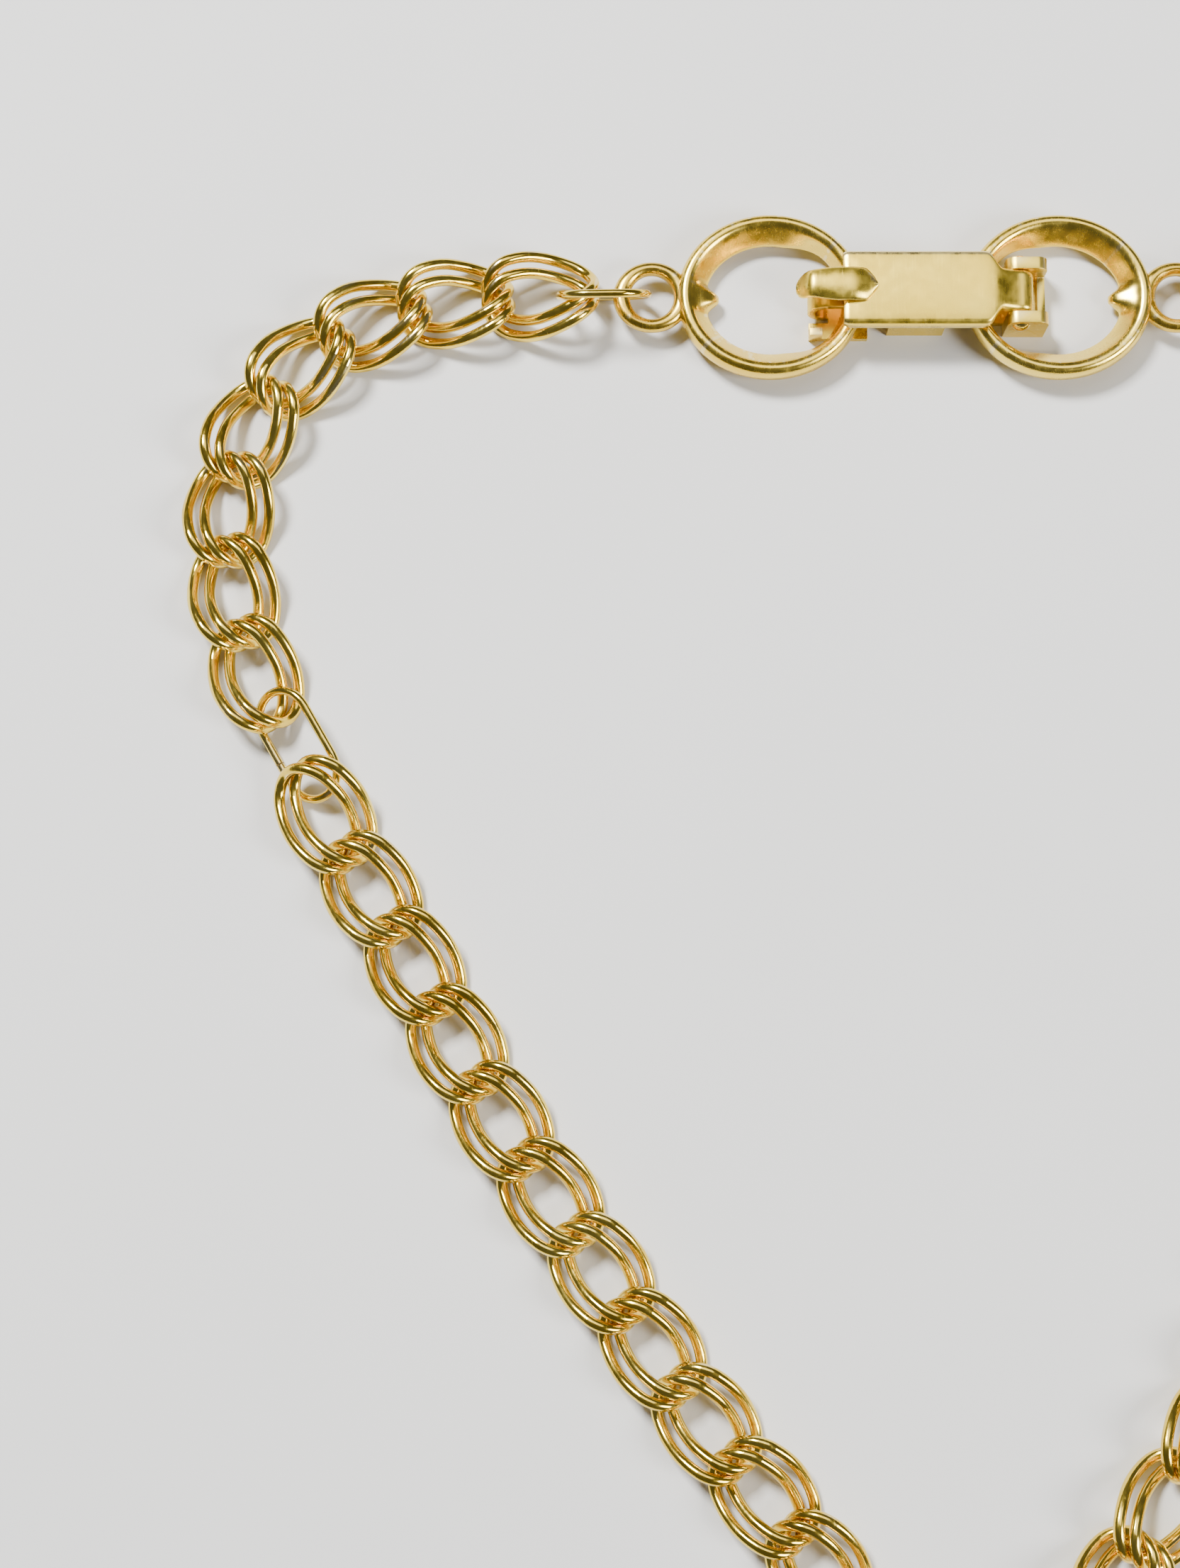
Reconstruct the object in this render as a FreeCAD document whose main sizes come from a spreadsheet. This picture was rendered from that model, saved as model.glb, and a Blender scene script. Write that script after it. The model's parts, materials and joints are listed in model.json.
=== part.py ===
import FreeCAD, Part
import math
import os
import re

# Eyeglasses chain strap: fold-over clasp between two oval frames, two strands of
# double twisted-oval links, and a temple loop at the far end of each strand.
# Millimetres, +Z up, everything lies on z = 0, origin under the clasp's middle.

doc = FreeCAD.newDocument("chain_strap")
V = FreeCAD.Vector
UP = V(0, 0, 1)

# ---------------------------------------------------------------- driving sizes
SIZES = [
    ("link_wire", 0.66, "wire of every chain ring"),
    ("link_pitch", 5.0, "hooking point to hooking point along the chain"),
    ("ring_lap", 0.188, "taken off a ring's half length past its hooking point"),
    ("ring_pinch", 0.318, "taken off a ring's half width"),
    ("ring_end_slope", 52.0, "slope of the wire across a ring's end, degrees"),
    ("ring_side_slope", 34.0, "slope of the wire along a ring's side, degrees"),
    ("ring_arc_ratio", 0.62, "side arc against end arc, how pointed a ring is"),
    ("pair_gap", 0.01, "added to the step between the two rings of a pair"),
    ("jump_wire", 0.50, "wire of the jump rings"),
    ("seam_gap", 0.10, "open seam of a jump ring"),
    ("clasp_ring_length", 2.57, "half length of a clasp ring's centreline"),
    ("clasp_ring_width", 1.90, "half width of a clasp ring's centreline"),
    ("mid_ring_length", 3.36, "half length of a mid ring's centreline"),
    ("mid_ring_width", 1.74, "half width of a mid ring's centreline"),
    ("end_ring_length", 2.60, "half length of an end ring's centreline"),
    ("end_ring_width", 1.74, "half width of an end ring's centreline"),
    ("eye_lap", 1.56, "clasp ring's end past the wire of the eye"),
    ("clasp_lap", 1.38, "clasp ring's end past the first hooking point"),
    ("knot_lap", 0.98, "jump ring's near end short of the hooking point"),
    ("mid_lap", 1.50, "mid ring's far end past the next hooking point"),
    ("cap_lap", 1.57, "end ring's far end past the wire of the cap's eye"),
    ("clasp_ring_rise", 0.85, "clasp ring's middle above the chain's middle"),
    ("jump_rise", 0.01, "other jump rings' middle above the chain's middle"),
    ("clasp_lift_room", -0.0507, "room left as a pair climbs on the clasp ring"),
    ("mid_lift_room", -0.4641, "room left as a pair climbs on the mid ring"),
    ("frame_length", 11.0, "oval frame outside, along the chain"),
    ("frame_width", 10.0, "oval frame outside, across the chain"),
    ("frame_rim", 1.25, "width of the frame's rim"),
    ("frame_depth", 1.40, "height of the frame's rim"),
    ("rim_x", 3.575, "clasp middle to the middle of a frame's inner rim"),
    ("rim_under", 0.21, "clearance between the base and a rim"),
    ("rim_over", 0.11, "clearance between a rim and the curled hook"),
    ("frame_round", 0.50, "rounding of the rim's edges"),
    ("cusp_reach", 1.70, "how far the gusset points into the frame"),
    ("cusp_width", 2.60, "width of the gusset at the rim"),
    ("eye_wire", 0.84, "wire of the soldered eyes"),
    ("eye_half_width", 1.80, "half width of an eye's centreline"),
    ("eye_reach", 3.30, "how far an eye's centreline stands off its frame"),
    ("base_thick", 0.45, "sheet of the clasp base"),
    ("base_half_width", 1.30, "half width of the base strip"),
    ("base_left", 6.30, "base strip's left end from the clasp middle"),
    ("base_behind", 1.58, "base strip's right end past the hinge pin"),
    ("tab_right", 2.70, "right end of the low side tab from the clasp middle"),
    ("tab_lip_top", 1.15, "top of the side tab's lip"),
    ("hook_width", 2.00, "width of the curled hook"),
    ("hook_tip", 3.20, "tip of the curled hook from the clasp middle"),
    ("wall_half_width", 1.90, "outside of the base's side walls"),
    ("wall_thick", 0.45, "sheet of the side walls"),
    ("wall_left", 1.55, "side walls' left end"),
    ("wall_right", 1.75, "side walls' right end"),
    ("wall_under", 0.08, "clearance between the side walls and the cover"),
    ("ear_inner", 1.28, "inside face of a hinge ear"),
    ("ear_thick", 0.72, "sheet of a hinge ear"),
    ("ear_ahead", 0.82, "hinge ears' left end short of the pin"),
    ("pin_x", 6.12, "hinge pin from the clasp middle"),
    ("pin_drop", 0.77, "cover's underside down to the pin's middle"),
    ("pin_radius", 0.35, "hinge pin"),
    ("pin_clear", 0.05, "running clearance of the cover on the pin"),
    ("rivet_lip", 0.17, "rivet head past the pin"),
    ("rivet_height", 0.28, "rivet head's height"),
    ("knuckle_wall", 0.40, "cover's knuckle past the pin"),
    ("cover_thick", 0.45, "sheet of the cover"),
    ("cover_gap", 0.10, "clearance between the curled hook and the cover"),
    ("cover_over", 0.35, "cover plate past the base's side walls"),
    ("cover_left", 4.30, "cover plate's left end"),
    ("cover_right", 4.25, "where the cover starts to narrow"),
    ("cover_flange", 0.34, "drop of the cover's side flanges"),
    ("neck_clear", 0.10, "clearance between the cover's neck and an ear"),
    ("tongue_left", 7.05, "tip of the thumb tongue"),
    ("tongue_half_width", 1.02, "half width of the thumb tongue"),
    ("keeper_thick", 0.25, "sheet of the keeper strap"),
    ("keeper_width", 1.90, "width of the keeper strap"),
    ("keeper_side", 0.355, "clearance between the keeper strap and the rim's sides"),
    ("keeper_over", 0.14, "clearance between the keeper strap and the rim's top"),
    ("loop_wire", 1.30, "round section of a moulded temple loop"),
    ("leg_gap", 0.40, "gap between the two legs of a temple loop"),
    ("leg_length", 15.0, "straight legs, from inside the end cap"),
    ("loop_flare_radius", 16.0, "arc where the loop opens"),
    ("loop_flare_angle", 35.0, "how far the loop opens, degrees"),
    ("cap_wall", 0.60, "end cap beside the legs of the loop"),
    ("cap_skin", 0.57, "end cap above and below the legs of the loop"),
    ("cap_length", 6.0, "length of an end cap"),
    ("cap_fit", 0.03, "clearance of a leg in its socket"),
    ("cap_socket", 3.6, "depth of a leg in its end cap"),
    ("cap_eye_radius", 1.60, "centreline radius of an end cap's eye"),
    ("cap_eye_wire", 0.80, "wire of an end cap's eye"),
    ("bead_length", 5.0, "slide bead"),
    ("bead_gap", 0.45, "slide bead's stand-off from the end cap"),
    ("bead_clear", 0.08, "clearance of the legs in the slide bead"),
]
# What fits something else is worked out from it: sheet "Fits".
FITS = [
    ("ring_half_length", "$link_pitch / 2 + 1.3 * $link_wire - $ring_lap"),
    ("ring_half_width", "3.3 * $link_wire - $ring_pinch"),
    ("pair_offset", "1.5 * $link_wire + $pair_gap"),
    ("clasp_lift", "$link_wire + $clasp_lift_room"),
    ("mid_lift", "$link_wire + $link_pitch / 10 + $mid_lift_room"),
    ("frame_floor", "$base_thick + $rim_under"),
    ("rim_top", "$frame_floor + $frame_depth"),
    ("frame_x", "$rim_x + ($frame_length - $frame_rim) / 2"),
    ("eye_x", "$frame_x + $frame_length / 2 + $eye_reach"),
    ("first_hook_x", "$eye_x + 2 * $clasp_ring_length - $eye_lap - $clasp_lap"),
    ("hook_height", "$rim_top + $rim_over + $base_thick"),
    ("keeper_top", "$rim_top + $keeper_over"),
    ("keeper_half_span", "$frame_rim / 2 + $keeper_side"),
    ("cover_bottom", "$hook_height + $cover_gap"),
    ("cover_half_width", "$wall_half_width + $cover_over"),
    ("wall_top", "$cover_bottom - $cover_flange - $wall_under"),
    ("base_right", "$pin_x + $base_behind"),
    ("pin_z", "$cover_bottom - $pin_drop"),
    ("rivet_radius", "$pin_radius + $rivet_lip"),
    ("knuckle_radius", "$pin_radius + $knuckle_wall"),
    ("ear_outer", "$ear_inner + $ear_thick"),
    ("ear_left", "$pin_x - $ear_ahead"),
    ("ear_top", "$pin_z + $knuckle_radius"),
    ("neck_half_width", "$ear_inner - $neck_clear"),
    ("leg_spacing", "($loop_wire + $leg_gap) / 2"),
    ("cap_half_width", "$leg_spacing + $loop_wire / 2 + $cap_wall"),
    ("cap_half_height", "$loop_wire / 2 + $cap_skin"),
]
OWN = [alias for alias, value, note in SIZES]
sheet = doc.addObject("Spreadsheet::Sheet", "Sizes")
for row, (alias, value, note) in enumerate(SIZES, start=1):
    sheet.set("A%d" % row, str(value))
    sheet.setAlias("A%d" % row, alias)
    sheet.set("B%d" % row, note)
doc.recompute()


def words(expr, home="Fits."):
    """Writes each $alias of an expression as a reference to its sheet."""
    return re.sub(r"\$(\w+)", lambda m: ("Sizes." if m[1] in OWN else home) + m[1], expr)


fits = doc.addObject("Spreadsheet::Sheet", "Fits")
for row, (alias, formula) in enumerate(FITS, start=1):
    fits.set("A%d" % row, "=" + words(formula, home=""))
    fits.setAlias("A%d" % row, alias)
    doc.recompute()


def size(alias):
    return float((sheet if alias in OWN else fits).get(alias))


NODES = []


# ------------------------------------------------------------- feature helpers
def primitive(kind, name, at=("0", "0", "0"), turn=None, **sizes):
    """A Part primitive whose sizes and position are expressions on the sheet."""
    obj = doc.addObject(kind, name)
    for prop, expr in sizes.items():
        obj.setExpression(prop, words(expr))
    if turn:
        obj.Placement.Rotation = FreeCAD.Rotation(V(*turn[0]), turn[1])
    for axis, expr in zip("xyz", at):
        obj.setExpression("Placement.Base.%s" % axis, words(expr))
    return obj


def box(name, x0, x1, y0, y1, z0, z1):
    """Box between two corners, each coordinate an expression."""
    return primitive("Part::Box", name, at=(x0, y0, z0),
                     Length="(%s) - (%s)" % (x1, x0),
                     Width="(%s) - (%s)" % (y1, y0),
                     Height="(%s) - (%s)" % (z1, z0))


def rod_y(name, x, z, y0, y1, radius):
    """Cylinder along +Y between y0 and y1."""
    return primitive("Part::Cylinder", name, at=(x, y0, z), turn=((1, 0, 0), -90),
                     Radius=radius, Height="(%s) - (%s)" % (y1, y0))


def fuse(name, *parts):
    obj = doc.addObject("Part::MultiFuse", name)
    obj.Shapes = list(parts)
    obj.Refine = True
    return obj


def cut(name, base, tool):
    obj = doc.addObject("Part::Cut", name)
    obj.Base = base
    obj.Tool = tool
    obj.Refine = True
    return obj


def common(name, first, second):
    obj = doc.addObject("Part::MultiCommon", name)
    obj.Shapes = [first, second]
    obj.Refine = True
    return obj


def plain(name, shape):
    """A feature that holds a shape made by Part functions."""
    obj = doc.addObject("Part::Feature", name)
    obj.Shape = shape
    return obj


def node(name, obj):
    """Marks a feature as a finished subcomponent."""
    obj.Label = name
    NODES.append((name, obj))
    return obj


# ------------------------------------------------------------------ clasp base
strip = box("base_strip", "$hook_height / 2 - $base_left", "$base_right", "-$base_half_width",
            "$base_half_width", "0", "$base_thick")
walls = [
    box("wall_north", "-$wall_left", "$wall_right", "$wall_half_width - $wall_thick",
        "$wall_half_width", "0", "$wall_top"),
    box("wall_south", "-$wall_left", "$wall_right", "-$wall_half_width",
        "$wall_thick - $wall_half_width", "0", "$wall_top"),
    box("wall_floor", "-$wall_left", "$wall_right", "-$wall_half_width",
        "$wall_half_width", "0", "$base_thick"),
]
ears = [
    box("ear_north", "$ear_left", "$base_right", "$ear_inner", "$ear_outer", "0", "$ear_top"),
    box("ear_south", "$ear_left", "$base_right", "-$ear_outer", "-$ear_inner", "0", "$ear_top"),
    box("ear_floor", "$ear_left", "$base_right", "-$ear_outer", "$ear_outer", "0", "$base_thick"),
    box("ear_web", "$base_right - $base_thick", "$base_right", "-$ear_outer", "$ear_outer",
        "0", "$pin_z - $knuckle_radius - 0.1"),
]
# the hook is half a tube: up round the strip's left end and back over the limb
hook_z = "$hook_height / 2"
hook = [
    rod_y("hook_outer", "$hook_height / 2 - $base_left", hook_z, "-$hook_width / 2",
          "$hook_width / 2", hook_z),
    box("hook_top", "$hook_height / 2 - $base_left", "-$hook_tip", "-$hook_width / 2",
        "$hook_width / 2", "$hook_height - $base_thick", "$hook_height"),
]
hook_hollow = [
    rod_y("hook_inner", "$hook_height / 2 - $base_left", hook_z, "-$hook_width",
          "$hook_width", "$hook_height / 2 - $base_thick"),
    box("hook_clear", "$hook_height / 2 - $base_left", "-$hook_tip", "-$hook_width",
        "$hook_width", "$base_thick", "$hook_height - $base_thick"),
]
tab = box("base_tab", "0.15 - $base_left", "-$tab_right", "-$base_half_width - 0.95",
          "-$base_half_width", "0", "$base_thick")
tab_lip = box("base_tab_lip", "0.15 - $base_left", "0.90 - $base_left",
              "-$base_half_width - 0.95", "-$base_half_width - 0.5", "0", "$tab_lip_top")
body = fuse("base_body", strip, tab, tab_lip, *(walls + ears))
curl = cut("hook_curl", fuse("hook_stock", *hook), fuse("hook_gap", *hook_hollow))
solid_base = fuse("base_solid", body, curl)
pin_hole = rod_y("ear_hole", "$pin_x", "$pin_z", "-$ear_outer - 1", "$ear_outer + 1",
                 "$pin_radius")
drilled = cut("base_drilled", solid_base, pin_hole)
doc.recompute()


def round_edges(name, source, radius, wanted):
    """Fillet on the straight edges of source that pass the test."""
    picked = []
    for number, edge in enumerate(source.Shape.Edges, start=1):
        if wanted(edge):
            picked.append((number, radius, radius))
    fillet = doc.addObject("Part::Fillet", name)
    fillet.Base = source
    fillet.Edges = picked
    return fillet


def ear_corner(edge):
    """Top corners of the two ears, along Y."""
    box_ = edge.BoundBox
    return (box_.XLength < 1e-6 and box_.ZLength < 1e-6
            and abs(box_.YLength - (size("ear_outer") - size("ear_inner"))) < 1e-6
            and abs(box_.ZMax - size("ear_top")) < 1e-6)


node("clasp_base", round_edges("clasp_base", drilled, 0.62, ear_corner))

# ------------------------------------------------------------------- hinge pin
shank = rod_y("pin_shank", "$pin_x", "$pin_z", "-$ear_outer", "$ear_outer", "$pin_radius")
heads = []
for side, sign in (("north", "1"), ("south", "-1")):
    ball = primitive("Part::Sphere", "rivet_ball_" + side,
                     at=("$pin_x", sign + " * ($ear_outer + $rivet_height - %s)" % (
                         "($rivet_radius ^ 2 + $rivet_height ^ 2) / (2 * $rivet_height)"), "$pin_z"),
                     Radius="($rivet_radius ^ 2 + $rivet_height ^ 2) / (2 * $rivet_height)")
    low = "$ear_outer" if side == "north" else "-$ear_outer - 1"
    high = "$ear_outer + 1" if side == "north" else "-$ear_outer"
    slab = box("rivet_slab_" + side, "$pin_x - 2", "$pin_x + 2", low, high,
               "$pin_z - 2", "$pin_z + 2")
    heads.append(common("rivet_head_" + side, ball, slab))
node("hinge_pin", fuse("hinge_pin", shank, *heads))

# ---------------------------------------------------------------- keeper strap
keep_x = "$rim_x"
keep_out = box("keeper_out", "%s - $keeper_half_span - $keeper_thick" % keep_x,
               "%s + $keeper_half_span + $keeper_thick" % keep_x, "-$keeper_width / 2",
               "$keeper_width / 2", "$base_thick", "$keeper_top + $keeper_thick")
keep_in = box("keeper_in", "%s - $keeper_half_span" % keep_x,
              "%s + $keeper_half_span" % keep_x, "-$keeper_width", "$keeper_width",
              "$base_thick - 1", "$keeper_top")
node("keeper_strap", cut("keeper_strap", keep_out, keep_in))


# ----------------------------------------------------------------- clasp cover
def cover_outline():
    """Plan of the cover plate: full width, taper, neck over the pin."""
    left = -size("cover_left")
    wide = size("cover_half_width")
    neck = size("neck_half_width")
    right = size("cover_right")
    pin = size("pin_x")
    points = [V(left, -wide, 0), V(right, -wide, 0), V(right + 0.9, -neck, 0),
              V(pin, -neck, 0), V(pin, neck, 0), V(right + 0.9, neck, 0),
              V(right, wide, 0), V(left, wide, 0)]
    return Part.makePolygon(points + [points[0]])


def extrude(wire, z0, height):
    face = Part.Face(wire)
    face.translate(V(0, 0, z0))
    return face.extrude(V(0, 0, height))


def cover_shape():
    """Pressed cover: domed plate, side flanges, thumb tongue and knuckle."""
    low = size("cover_bottom")
    thick = size("cover_thick")
    wide = size("cover_half_width")
    left = -size("cover_left")
    plate = extrude(cover_outline(), low, thick)
    # a very large cylinder along X gives the plate its slight dome
    dome_radius = 16.0
    dome = Part.makeCylinder(dome_radius, 30, V(-15, 0, low + thick - dome_radius), V(1, 0, 0))
    plate = plate.common(dome)
    flange_size = V(size("cover_right") - left, thick * 0.75, size("cover_flange") + 0.1)
    for side in (-1, 1):
        y0 = side * wide if side < 0 else wide - flange_size.y
        flange = Part.makeBox(flange_size.x, flange_size.y, flange_size.z,
                              V(left, y0, low - size("cover_flange")))
        plate = plate.fuse(flange)
    # knuckle round the pin
    neck = size("neck_half_width")
    centre = V(size("pin_x"), -neck, size("pin_z"))
    knuckle = Part.makeCylinder(size("knuckle_radius"), 2 * neck, centre, V(0, 1, 0))
    rise = low + thick - size("pin_z")
    riser = Part.makeBox(size("knuckle_radius"), 2 * neck, rise - 0.12,
                         centre + V(-size("knuckle_radius"), 0, 0))
    bore = Part.makeCylinder(size("pin_radius") + size("pin_clear"), 4 * neck,
                             centre - V(0, neck, 0), V(0, 1, 0))
    plate = plate.fuse([knuckle, riser]).cut(bore)
    return plate.fuse(tongue_shape()).removeSplitter()


def tongue_shape():
    """Spoon tongue: rises from the plate, runs left and bends down at its tip."""
    low = size("cover_bottom")
    thick = size("cover_thick")
    tip = -size("tongue_left")
    half = size("tongue_half_width")
    root = -size("cover_left") + 1.6
    top = low + thick + 0.30
    outer = [V(root, 0, low + thick - 0.15), V(root - 1.5, 0, top), V(tip + 1.1, 0, top - 0.1),
             V(tip, 0, top - 1.0)]
    inner = [V(tip + 0.42, 0, top - 1.05), V(tip + 1.25, 0, top - 0.1 - thick),
             V(root - 1.5, 0, top - thick), V(root, 0, low + 0.05)]
    upper = Part.BSplineCurve()
    upper.interpolate(outer)
    lower = Part.BSplineCurve()
    lower.interpolate(inner)
    profile = Part.Wire([upper.toShape(), Part.LineSegment(outer[-1], inner[0]).toShape(),
                         lower.toShape(), Part.LineSegment(inner[-1], outer[0]).toShape()])
    blade = Part.Face(profile)
    blade.translate(V(0, -half, 0))
    blade = blade.extrude(V(0, 2 * half, 0))
    # rounded nose in plan
    nose = Part.makeCylinder(half, 8, V(tip + half, 0, low - 3))
    shank_box = Part.makeBox(6, 2 * half, 8, V(tip + half, -half, low - 3))
    return blade.common(nose.fuse(shank_box))


node("clasp_cover", plain("clasp_cover", cover_shape()))


# ----------------------------------------------------------------- oval frames
def ellipse_wire(half_x, half_y, z):
    curve = Part.Ellipse(V(0, 0, z), half_x, half_y)
    return Part.Wire([curve.toShape()])


def frame_shape(side):
    """Closed oval rim with rounded edges and one gusset at its outer end."""
    half_x = size("frame_length") / 2
    half_y = size("frame_width") / 2
    rim = size("frame_rim")
    low = size("frame_floor")
    depth = size("frame_depth")
    outer = Part.Face(ellipse_wire(half_x, half_y, low)).extrude(V(0, 0, depth))
    inner = Part.Face(ellipse_wire(half_x - rim, half_y - rim, low)).extrude(V(0, 0, depth))
    ring = outer.cut(inner)
    loops = [e for e in ring.Edges if e.Curve.TypeId == "Part::GeomEllipse"]
    ring = ring.makeFillet(size("frame_round"), loops)
    reach = half_x - rim - size("cusp_reach")
    wide = size("cusp_width") / 2
    root = half_x - rim + 0.35
    outline = Part.makePolygon([V(reach, 0, 0), V(reach + 0.7, wide * 0.3, 0), V(root, wide, 0),
                                V(root, -wide, 0), V(reach + 0.7, -wide * 0.3, 0), V(reach, 0, 0)])
    gusset = extrude(outline, low + 0.25, depth - 0.5)
    ring = ring.fuse(gusset).removeSplitter()
    if side < 0:
        ring.rotate(V(0, 0, 0), UP, 180)
    ring.translate(V(side * size("frame_x"), 0, 0))
    return ring


def tube_along(edges, wire_diameter):
    """Round wire swept along a smooth chain of edges."""
    path = Part.Wire(edges)
    first = edges[0]
    start = first.valueAt(first.FirstParameter)
    along = first.tangentAt(first.FirstParameter)
    ring = Part.Wire([Part.makeCircle(wire_diameter / 2, start, along)])
    faces = path.makePipe(ring).Faces
    if not path.isClosed():
        last = edges[-1]
        for edge, where in ((first, first.FirstParameter), (last, last.LastParameter)):
            disc = Part.makeCircle(wire_diameter / 2, edge.valueAt(where), edge.tangentAt(where))
            faces.append(Part.Face(Part.Wire([disc])))
    closed = Part.makeShell(faces)
    closed.sewShape()
    return Part.Solid(closed)


def arc3(a, b, c):
    return Part.Arc(a, b, c).toShape()


def line(a, b):
    return Part.LineSegment(a, b).toShape()


def eye_shape(side, frame):
    """Soldered eye: a half-oval wire whose two legs end on the frame."""
    half = size("eye_half_width")
    reach = size("eye_reach")
    z = size("frame_floor") + size("frame_depth") / 2 - 0.1
    face = size("eye_x") - reach
    bend = size("eye_x") - half
    legs = face - 0.9
    points = [V(legs, half, z), V(bend, half, z), V(bend + half, 0, z),
              V(bend, -half, z), V(legs, -half, z)]
    if side < 0:
        points = [V(-p.x, -p.y, p.z) for p in points]
    wire = tube_along([line(points[0], points[1]), arc3(points[1], points[2], points[3]),
                       line(points[3], points[4])], size("eye_wire"))
    return wire.cut(frame)


for side, word in ((-1, "left"), (1, "right")):
    rim_shape = frame_shape(side)
    node("frame_" + word, plain("frame_" + word, rim_shape))
    node("eye_" + word, plain("eye_" + word, eye_shape(side, rim_shape)))


# ----------------------------------------------------------------- chain rings
def quarter_points():
    """Quarter of the twisted oval as two arcs that share a tangent: five points."""
    slope = math.radians(size("ring_end_slope"))
    rise = math.radians(size("ring_side_slope"))
    ratio = size("ring_arc_ratio")
    p0 = V(size("ring_half_length"), 0, 0)
    p1 = V(0, size("ring_half_width"), 0)
    t0 = V(0, math.cos(slope), -math.sin(slope))
    t1 = V(-math.cos(rise), 0, math.sin(rise))
    chord = p1 - p0
    mix = t1 * ratio + t0
    qa = mix.dot(mix) - (1 + ratio) ** 2
    qb = -2 * chord.dot(mix)
    qc = chord.dot(chord)
    root = math.sqrt(qb * qb - 4 * qa * qc)
    first = min(x for x in ((-qb + root) / (2 * qa), (-qb - root) / (2 * qa)) if x > 0)
    second = ratio * first
    q0 = p0 + t0 * first
    q1 = p1 - t1 * second
    joint = (q0 * second + q1 * first) * (1 / (first + second))
    return [p0, arc_middle(p0, t0, joint), joint,
            arc_middle(joint, (q1 - q0).normalize(), p1), p1]


def arc_middle(start, tangent, end):
    """Middle of the arc that leaves start along tangent and reaches end."""
    chord = end - start
    inward = (chord - tangent * chord.dot(tangent)).normalize()
    radius = chord.dot(chord) / (2 * chord.dot(inward))
    half = math.atan2(chord.dot(inward), chord.dot(tangent))
    centre = start + inward * radius
    return centre + inward * (-radius * math.cos(half)) + tangent * (radius * math.sin(half))


def twisted_ring():
    """One twisted oval ring, centred on the origin, length along X."""
    quarter = quarter_points()
    edges = []
    for step, (sx, sy, sz) in enumerate([(1, 1, 1), (-1, 1, -1), (-1, -1, 1), (1, -1, -1)]):
        pts = [V(p.x * sx, p.y * sy, p.z * sz) for p in quarter]
        if step % 2:
            pts.reverse()
        edges.append(arc3(pts[0], pts[1], pts[2]))
        edges.append(arc3(pts[2], pts[3], pts[4]))
    return tube_along(edges, size("link_wire"))


RING = twisted_ring()
CHAIN_HEIGHT = -RING.optimalBoundingBox().ZMin  # the chain lies on z = 0


def heading_vector(angle):
    return V(math.cos(math.radians(angle)), math.sin(math.radians(angle)), 0)


def pair_at(centre, angle, pitch=0.0):
    """Two rings side by side; pitch lifts the end nearer the clasp."""
    turn = FreeCAD.Rotation(UP, angle).multiply(FreeCAD.Rotation(V(0, 1, 0), pitch))
    rings = []
    for side in (-1, 1):
        ring = RING.copy()
        offset = V(0, side * size("pair_offset") / 2, 0)
        ring.Placement = FreeCAD.Placement(centre, turn).multiply(
            FreeCAD.Placement(offset, FreeCAD.Rotation()))
        rings.append(ring)
    return rings


def oval_ring(centre, angle, lean, half_length, half_width):
    """Jump ring on edge, its top leaning to the left of travel, with an open seam."""
    wire = size("jump_wire")
    straight = half_length - half_width
    a, b = V(straight, half_width, 0), V(-straight, half_width, 0)
    c, d = V(-straight, -half_width, 0), V(straight, -half_width, 0)
    edges = [line(a, b), arc3(b, V(-half_length, 0, 0), c), line(c, d),
             arc3(d, V(half_length, 0, 0), a)]
    ring = tube_along(edges, wire)
    gap = size("seam_gap")
    seam = Part.makeBox(gap, 2 * wire, 2 * wire, V(0.3 - gap / 2, -half_width - wire, -wire))
    ring = ring.cut(seam)
    turn = FreeCAD.Rotation(UP, angle).multiply(FreeCAD.Rotation(V(1, 0, 0), 90 - lean))
    ring.Placement = FreeCAD.Placement(centre, turn)
    return ring


# --------------------------------------------------------------- strand layout
# Each strand starts at its clasp ring. Turns are whole degrees at each hooking
# point, positive to the left of travel. Below its mid ring a strand drifts over a
# set length, bends away from the other strand, and runs straight from there.
CLASP_ASIDE = 0.19
MID_ASIDE = 0.59
END_ASIDE = 0.15
LEFT_TURNS = [5, 15, 22, 22, 22, 14, 9]
LEFT_DRIFT = [2, -3, 0, 3, 3, -1, 1, 3, 2]
LEFT_DRIFT_LENGTH = 45.0
LEFT_BEND = [-6, -14, -15, -13, -8, 0, 2, 3]
RIGHT_TURNS = [-5, -14, -20, -22, -21, -16, -10]
RIGHT_DRIFT = [-1, -1, -1, -1, -1, 0, -1, 0, 0, 0, 0]
RIGHT_DRIFT_LENGTH = 55.0
RIGHT_BEND = [12, 14, 13, 6, 0, 0, -2]
RUN_PAIRS = 42
RING_PLACES = {
    # ring kind: (half length, half width, rise above the chain's middle, lean)
    "clasp": ("clasp_ring_length", "clasp_ring_width", "clasp_ring_rise", 17.0),
    "mid": ("mid_ring_length", "mid_ring_width", "jump_rise", 56.0),
    "end": ("end_ring_length", "end_ring_width", "jump_rise", 56.0),
}


def side_vector(angle):
    return heading_vector(angle + 90)


def place_ring(kind, origin, angle, ahead, aside):
    length, width, rise, lean = RING_PLACES[kind]
    centre = origin + heading_vector(angle) * ahead + side_vector(angle) * aside
    centre.z = CHAIN_HEIGHT + size(rise)
    return oval_ring(centre, angle, lean, size(length), size(width))


def walk(centre, angle, turns):
    """Middles and headings of a run of pairs, hooked one to the next."""
    half = size("link_pitch") / 2
    run = [(centre, angle)]
    for turn in turns:
        centre = centre + heading_vector(angle) * half
        angle += turn
        centre = centre + heading_vector(angle) * half
        run.append((centre, angle))
    return run


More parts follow.
